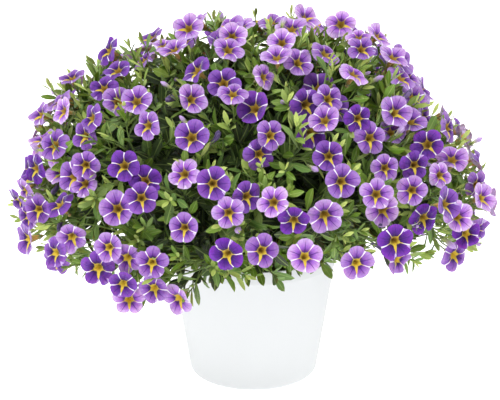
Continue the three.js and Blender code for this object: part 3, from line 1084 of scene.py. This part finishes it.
class BloomSettings(bpy.types.PropertyGroup):
    """Colours of the blooms and buds."""

    petal_pale: swatch("Pale petal", "Rim of the palest blooms", 222, 188, 230)
    petal_deep: swatch("Deep petal", "Rim of the deepest blooms", 108, 36, 166)
    petal_middle: swatch("Petal middle", "Middle of the palest blooms' petals", 162, 98, 202)
    petal_heart: swatch("Petal heart", "Petals round the throat, and their middle veins", 60, 5, 112)
    petal_shadow: swatch("Petal foot", "Petals just outside the throat's star", 38, 4, 62)
    ray_white: swatch("Ray", "Outer part of the five rays", 244, 234, 249)
    ray_gold: swatch("Golden ray", "Inner part of the five rays", 212, 186, 62)
    throat_gold: swatch("Throat star", "Star round the throat", 158, 126, 38)
    throat_brown: swatch("Throat", "Inside of the throat", 112, 82, 22)
    back_pale: swatch("Pale back", "Back of the palest blooms", 232, 212, 244)
    back_deep: swatch("Deep back", "Back of the deepest blooms", 184, 146, 216)
    tube_gold: swatch("Golden tube", "Light part of the tube", 214, 172, 74)
    tube_brown: swatch("Brown tube", "Dark part of the tube", 164, 116, 60)
    bud_green: swatch("Bud foot", "Foot of a furled bud", 176, 186, 104)
    spent_dark: swatch("Spent bloom", "Dark part of a spent bloom", 50, 34, 88)
    spent_brown: swatch("Withered edge", "Light part of a spent bloom", 112, 88, 138)


class FoliageSettings(bpy.types.PropertyGroup):
    """Colours and thicknesses of the foliage."""

    # The darkest leaf colour is also the painted shade of the leaves deep in the mound.
    leaf_dark_and_shade: swatch("Shaded leaf", "Darkest grown leaves", 24, 42, 12)
    leaf_green: swatch("Leaf", "Grown leaves", 100, 138, 20)
    leaf_young: swatch("Young leaf", "Leaves at the tips of the twigs", 200, 216, 116)
    leaf_cool: swatch("Bluish leaf", "Leaves with a bluish bloom", 120, 156, 116)
    leaf_vein: swatch("Leaf vein", "Veins and hairs", 168, 190, 106)
    stem_green: swatch("Stem", "Grown stems", 92, 118, 48)
    stem_young: swatch("Young stem", "Bloom stalks and calyxes", 138, 164, 74)
    stem_woody: swatch("Woody stem", "Foot of the old stems", 112, 88, 54)
    stem_radius: length("Stem radius", "Radius of a main stem at the soil", 0.0017, 0.0005, 0.004)
    stalk_radius: length("Stalk radius", "Radius of a bloom's stalk", 0.00055, 0.0002, 0.002)


class PotSettings(bpy.types.PropertyGroup):
    """Sizes and colours of the pot and its soil."""

    base_radius: length("Base radius", "Radius of the pot at its foot", 0.0525, 0.02, 0.2)
    height: length("Height", "Height of the pot", 0.11, 0.05, 0.4)
    taper: number("Taper", "Growth of the radius for each unit of height", 0.155, 0, 0.5)
    wall: length("Wall", "Thickness of the pot's wall", 0.002, 0.0005, 0.006)
    collar: length("Collar height", "Height of the collar below the rim", 0.013, 0.004, 0.04)
    sides: IntProperty(name="Sides", description="Steps round the pot", default=96, min=24, max=256)
    # The plastic goes from the first colour at the foot to the second at the rim, as painted light low down
    # and painted shade high up; the second also tints the flow marks.
    pot_white: swatch("Pot", "Light part of the plastic, at the foot", 228, 230, 232)
    pot_flow_and_painted_shade: swatch("Pot shade", "Darker part of the plastic, at the rim", 211, 213, 216)
    soil_dark: swatch("Wet soil", "Dark crumbs", 34, 24, 17)
    soil_brown: swatch("Soil", "Light crumbs", 70, 50, 34)
    soil_fibre: swatch("Fibre", "Fibres in the peat", 112, 84, 54)
    soil_grain: swatch("Grain", "Pale grains in the peat", 196, 190, 176)


class StageSettings(bpy.types.PropertyGroup):
    """The camera, floor and lights."""

    distance: length("Camera distance", "Distance from the camera to the plant", 1.3, 0.5, 5)
    elevation: number("Camera elevation", "Angle of the view above the horizon",
                      math.radians(17.5), 0, math.pi / 2, subtype="ANGLE")
    aim_height: length("Aim height", "Height that the camera is aimed at", 0.1475, 0, 1)
    lens: number("Lens", "Focal length of the camera in millimetres", 114.1, 20, 300)
    key_strength: number("Key light", "Strength of the soft light from the upper left", 2.2, 0, 20)
    right_strength: number("Right light", "Strength of the soft light from the right", 0.75, 0, 20)
    left_strength: number("Left light", "Strength of the soft light from the left", 0.4, 0, 20)
    sky: number("Surrounding light", "Strength of the even light all round", 0.64, 0, 5)
    floor_glow: number("Floor glow", "Light that the lit-through floor gives", 0.6, 0, 2)
    floor: swatch("Floor", "Plain floor and ground", 250, 250, 250)


# ---- pieces

SAME = 1e-5  # points closer than this are one


def add_object(name, data):
    """An object of the scene, made from its data."""
    item = bpy.data.objects.new(name, data)
    bpy.context.scene.collection.objects.link(item)
    return item


def add_piece(name, bm, finishes):
    """A finished bmesh as an object of the scene, with its finishes."""
    mesh = bpy.data.meshes.new(name)
    bm.to_mesh(mesh)
    bm.free()
    for finish in finishes:
        mesh.materials.append(finish)
    return add_object(name, mesh)


def settle(piece, nodes=()):
    """Makes a piece ride with the plant and stand for its nodes."""
    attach(piece, "root")
    if nodes:
        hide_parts(*nodes)


def turned_piece(name, profile, sides, finish, shape=None, bevels=()):
    """A piece turned on the Z axis from a closed profile of radii and heights in metres."""
    bm = spun(profile, sides, SAME)
    for height, offset in bevels:
        ring = [edge for edge in bm.edges if edge.calc_face_angle(0) > 0.2
                and all(abs(vert.co.z - height) < SAME for vert in edge.verts)]
        bmesh.ops.bevel(bm, geom=ring, offset=offset, segments=4, profile=0.5, affect="EDGES", material=-1)
    if shape:
        for vert in bm.verts:
            shape(vert)
    for face in bm.faces:
        face.smooth = True
    for edge in bm.edges:
        edge.smooth = edge.calc_face_angle(0) < math.radians(40)
    return add_piece(name, bm, [finish])


POT_FLOOR = 0.0024
COLLAR_STEP = 0.0012


class CALIBRACHOA_OT_pot(bpy.types.Operator):
    """Build the tapered pot with its collar and rounded rim"""

    bl_idname = "calibrachoa.pot"
    bl_label = "Pot"

    def execute(self, context):
        settings = context.scene.calibrachoa_pot
        foot = settings.height - settings.collar

        def radius(height):
            return settings.base_radius + settings.taper * height

        profile = [
            (0, 0),
            (radius(0), 0),
            (radius(foot), foot),
            (radius(foot) + COLLAR_STEP, foot + COLLAR_STEP),
            (radius(settings.height) + COLLAR_STEP, settings.height),
            (radius(settings.height) - settings.wall, settings.height),
            (radius(POT_FLOOR) - settings.wall, POT_FLOOR),
            (0, POT_FLOOR),
        ]
        bevels = [(0, 0.004), (foot + COLLAR_STEP, 0.0005), (settings.height, 0.0009)]
        piece = turned_piece("pot_body", profile, settings.sides, pot_finish(settings), bevels=bevels)
        settle(piece, ["pot"])
        return {"FINISHED"}


SOIL_GAP = 0.0003
SOIL_FOOT = 0.0027
SOIL_RINGS, SOIL_SIDES = 26, 84
LUMP_HEIGHT = 0.0022
FLAT_BAND = 0.006  # the lumps fade out towards the wall over this distance


class CALIBRACHOA_OT_soil(bpy.types.Operator):
    """Build the potting soil with its lumpy top"""

    bl_idname = "calibrachoa.soil"
    bl_label = "Soil"

    def execute(self, context):
        settings = context.scene.calibrachoa_pot
        top = SOIL_TOP * MM

        def radius(height):
            return settings.base_radius + settings.taper * height - settings.wall - SOIL_GAP

        def lumps(vert):
            if vert.co.z > top - SAME:
                inside = min(1, (radius(top) - math.hypot(vert.co.x, vert.co.y)) / FLAT_BAND)
                vert.co.z += LUMP_HEIGHT * noise.fractal(vert.co * 130, 0.7, 2.0, 4) * inside

        across = [(radius(top) * ring / SOIL_RINGS, top) for ring in range(SOIL_RINGS + 1)]
        profile = [*across, (radius(SOIL_FOOT), SOIL_FOOT), (0, SOIL_FOOT)]
        piece = turned_piece("soil_body", profile, SOIL_SIDES, soil_finish(settings), shape=lumps)
        settle(piece, ["soil"])
        return {"FINISHED"}


STEM_SINK = 4  # how far a stem goes on below the soil's top
STEM_THIN = 0.6
TWIG_RADII = 0.8, 0.55
SPRIG_RADII = 0.5, 0.5
SPRIG_CALYX = 10
STALK_FOOT = 1.3  # how much thicker a bloom's stalk is at its foot
YOUNG_FROM = 0.6  # leaves younger than this are narrow
LEAF_ROLL, TINT_SCATTER = 0.35, 0.15


class CALIBRACHOA_OT_foliage(bpy.types.Operator):
    """Build the stems, twigs, leaves, stalks and calyxes, one piece for each sector of the dome"""

    bl_idname = "calibrachoa.foliage"
    bl_label = "Foliage"

    def execute(self, context):
        settings = context.scene.calibrachoa_foliage
        shoots, blooms, leaves, tufts, sprigs = growth()
        finishes = [leaf_finish(settings), stem_finish(settings)]
        stem_tube, twig_tube, stalk_tube = (tube_shape(*fineness) for fineness in TUBES)
        blades, young_blades = ([leaf_shape(*kind) for kind in kinds] for kinds in (BLADES, YOUNG_BLADES))
        calyx = calyx_shape()
        stem, stalk = settings.stem_radius / MM, settings.stalk_radius / MM
        sectors = Sectors()
        draw = Draws(97)
        for shoot in shoots:
            root = shoot.curve[0]
            foot = [Vector((root.x, root.y, SOIL_TOP - STEM_SINK)), root]
            sectors.bend(shoot, stem_tube, shoot.curve, (stem, stem * STEM_THIN), 0.2, shoot.sideways)
            sectors.bend(shoot, twig_tube, foot, (stem, stem), 0.1, shoot.sideways)
        for tuft in tufts:
            sectors.bend(tuft.shoot, twig_tube, tuft.curve, TWIG_RADII, draw(0.0, 0.5))
        for sprig in sprigs:
            sectors.bend(sprig.shoot, stalk_tube, sprig.curve, SPRIG_RADII, draw(0.5, 1.0))
            sectors.put(sprig.shoot, calyx, sprig.head_axes(SPRIG_CALYX, CALYX_DEPTH), draw(0.4, 1.0))
        for bloom in blooms:
            radii = stalk * STALK_FOOT, stalk
            sectors.bend(bloom.shoot, stalk_tube, pedicel(bloom), radii, draw(0.4, 1.0))
            sectors.put(bloom.shoot, calyx, bloom.head_axes(), draw(0.4, 1.0))
        for leaf in leaves:
            side = leaf.direction.cross(leaf.upper).normalized()
            side = Matrix.Rotation(draw(-LEAF_ROLL, LEAF_ROLL), 3, leaf.direction) @ side
            face = side.cross(leaf.direction).normalized()
            kinds = young_blades if leaf.young > YOUNG_FROM else blades
            shape = kinds[int(draw(0, len(kinds)))]
            tint = min(1, max(0, leaf.young + draw(-TINT_SCATTER, TINT_SCATTER)))
            place = axes(leaf.direction, side, face, leaf.root, leaf.length)
            sectors.put(leaf.shoot, shape, place, tint)
        for sector, piece in enumerate(sectors.pieces("foliage", finishes)):
            settle(piece, [shoot.name for shoot in shoots if shoot.sector == sector])
        return {"FINISHED"}


# The height from which the blooms are painted paler, as painted light on the top of the dome, and the rise
# over which they do.
PAINTED_LIGHT_FROM, PAINTED_LIGHT_OVER = 262, 36


class CALIBRACHOA_OT_blooms(bpy.types.Operator):
    """Build the blooms, buds and spent blooms, one piece for each sector of the dome"""

    bl_idname = "calibrachoa.blooms"
    bl_label = "Blooms"

    def execute(self, context):
        colours = context.scene.calibrachoa_blooms
        _, blooms, _, _, sprigs = growth()
        finishes = [petal_face_finish(colours), petal_back_finish(colours), bud_finish(colours)]
        shapes = [bloom_shape(*kind) for kind in BLOOM_KINDS]
        bud, spent = bud_shape(*BUD), bud_shape(*SPENT)
        sectors = Sectors()
        draw = Draws(41)
        for bloom in blooms:
            shape = shapes[int(draw(0, len(shapes)))]
            # Painted light: blooms high on the dome get a paler tint, for the stronger light on the dome's
            # top.
            high = max(bloom.centre.z - PAINTED_LIGHT_FROM, 0) / PAINTED_LIGHT_OVER
            tint = min(1, draw(0, 1) ** 1.4 + 0.9 * high ** 2)
            sectors.put(bloom.shoot, shape, bloom.head_axes(), tint)
        for sprig in sprigs:
            shape = spent if sprig.spent else bud
            sectors.put(sprig.shoot, shape, sprig.head_axes(sprig.length), draw(0, 1))
        for piece in sectors.pieces("blooms", finishes):
            settle(piece)
        return {"FINISHED"}


FLOOR_HALF = 12
SENSOR_WIDTH = 36
CAMERA_SHIFT = -0.007
# Each light: its name, its softness in degrees and its direction.
LIGHTS = [
    ("key", 30, (0.4, 0.5, -1.2)),
    ("right", 60, (-1.0, 0.1, -0.25)),
    ("left", 60, (1.0, 0.1, -0.25)),
]


class CALIBRACHOA_OT_stage(bpy.types.Operator):
    """Set up the floor, the soft lights and the camera"""

    bl_idname = "calibrachoa.stage"
    bl_label = "Stage"

    def execute(self, context):
        settings = context.scene.calibrachoa_stage
        scene = context.scene
        scene.view_settings.view_transform = "Standard"
        bm = bmesh.new()
        bmesh.ops.create_grid(bm, x_segments=1, y_segments=1, size=FLOOR_HALF)
        white = tuple(settings.floor)
        finish = Finish("floor").shade(Base_Color=white, Roughness=0.9, Emission_Color=white,
                                       Emission_Strength=settings.floor_glow)
        floor = add_piece("floor", bm, [finish])
        world = bpy.data.worlds.new("studio")
        world.use_nodes = True
        background = world.node_tree.nodes["Background"].inputs
        background["Color"].default_value = (1, 1, 1, 1)
        background["Strength"].default_value = settings.sky
        scene.world = world
        for side, softness, direction in LIGHTS:
            light = add_object(f"{side}_light", bpy.data.lights.new(f"{side}_light", "SUN"))
            light.data.energy = getattr(settings, f"{side}_strength")
            light.data.angle = math.radians(softness)
            light.rotation_euler = Vector(direction).to_track_quat("-Z", "Y").to_euler()
        camera = add_object("camera", bpy.data.cameras.new("camera"))
        camera.data.lens = settings.lens
        camera.data.sensor_width = SENSOR_WIDTH
        camera.data.shift_x = CAMERA_SHIFT
        aim = Vector((0, 0, settings.aim_height))
        back = Vector((0, -math.cos(settings.elevation), math.sin(settings.elevation)))
        camera.location = aim + back * settings.distance
        camera.rotation_euler = (math.pi / 2 - settings.elevation, 0, 0)
        scene.camera = camera
        return {"FINISHED"}


class CALIBRACHOA_PT_panel(bpy.types.Panel):
    """The plant's pieces and their settings"""

    bl_label = "Calibrachoa"
    bl_idname = "CALIBRACHOA_PT_panel"
    bl_space_type = "VIEW_3D"
    bl_region_type = "UI"
    bl_category = "Calibrachoa"

    def draw(self, context):
        for group, (_, operators) in GROUPS.items():
            settings = getattr(context.scene, group)
            box = self.layout.box()
            for name in settings.__annotations__:
                box.prop(settings, name)
            for operator in operators:
                box.operator(operator.bl_idname)


# Each group of settings on the scene: its class and the operators that read it.
GROUPS = {
    "calibrachoa_pot": (PotSettings, [CALIBRACHOA_OT_pot, CALIBRACHOA_OT_soil]),
    "calibrachoa_foliage": (FoliageSettings, [CALIBRACHOA_OT_foliage]),
    "calibrachoa_blooms": (BloomSettings, [CALIBRACHOA_OT_blooms]),
    "calibrachoa_stage": (StageSettings, [CALIBRACHOA_OT_stage]),
}
CLASSES = [cls for settings, operators in GROUPS.values() for cls in (settings, *operators)]
CLASSES.append(CALIBRACHOA_PT_panel)


def register():
    for cls in CLASSES:
        bpy.utils.register_class(cls)
    for name, (settings, _) in GROUPS.items():
        setattr(bpy.types.Scene, name, PointerProperty(type=settings))


def unregister():
    for name in GROUPS:
        delattr(bpy.types.Scene, name)
    for cls in reversed(CLASSES):
        bpy.utils.unregister_class(cls)


def main():
    register()
    bpy.ops.calibrachoa.pot()
    bpy.ops.calibrachoa.soil()
    bpy.ops.calibrachoa.foliage()
    bpy.ops.calibrachoa.blooms()
    bpy.ops.calibrachoa.stage()


if __name__ == "__main__":
    main()
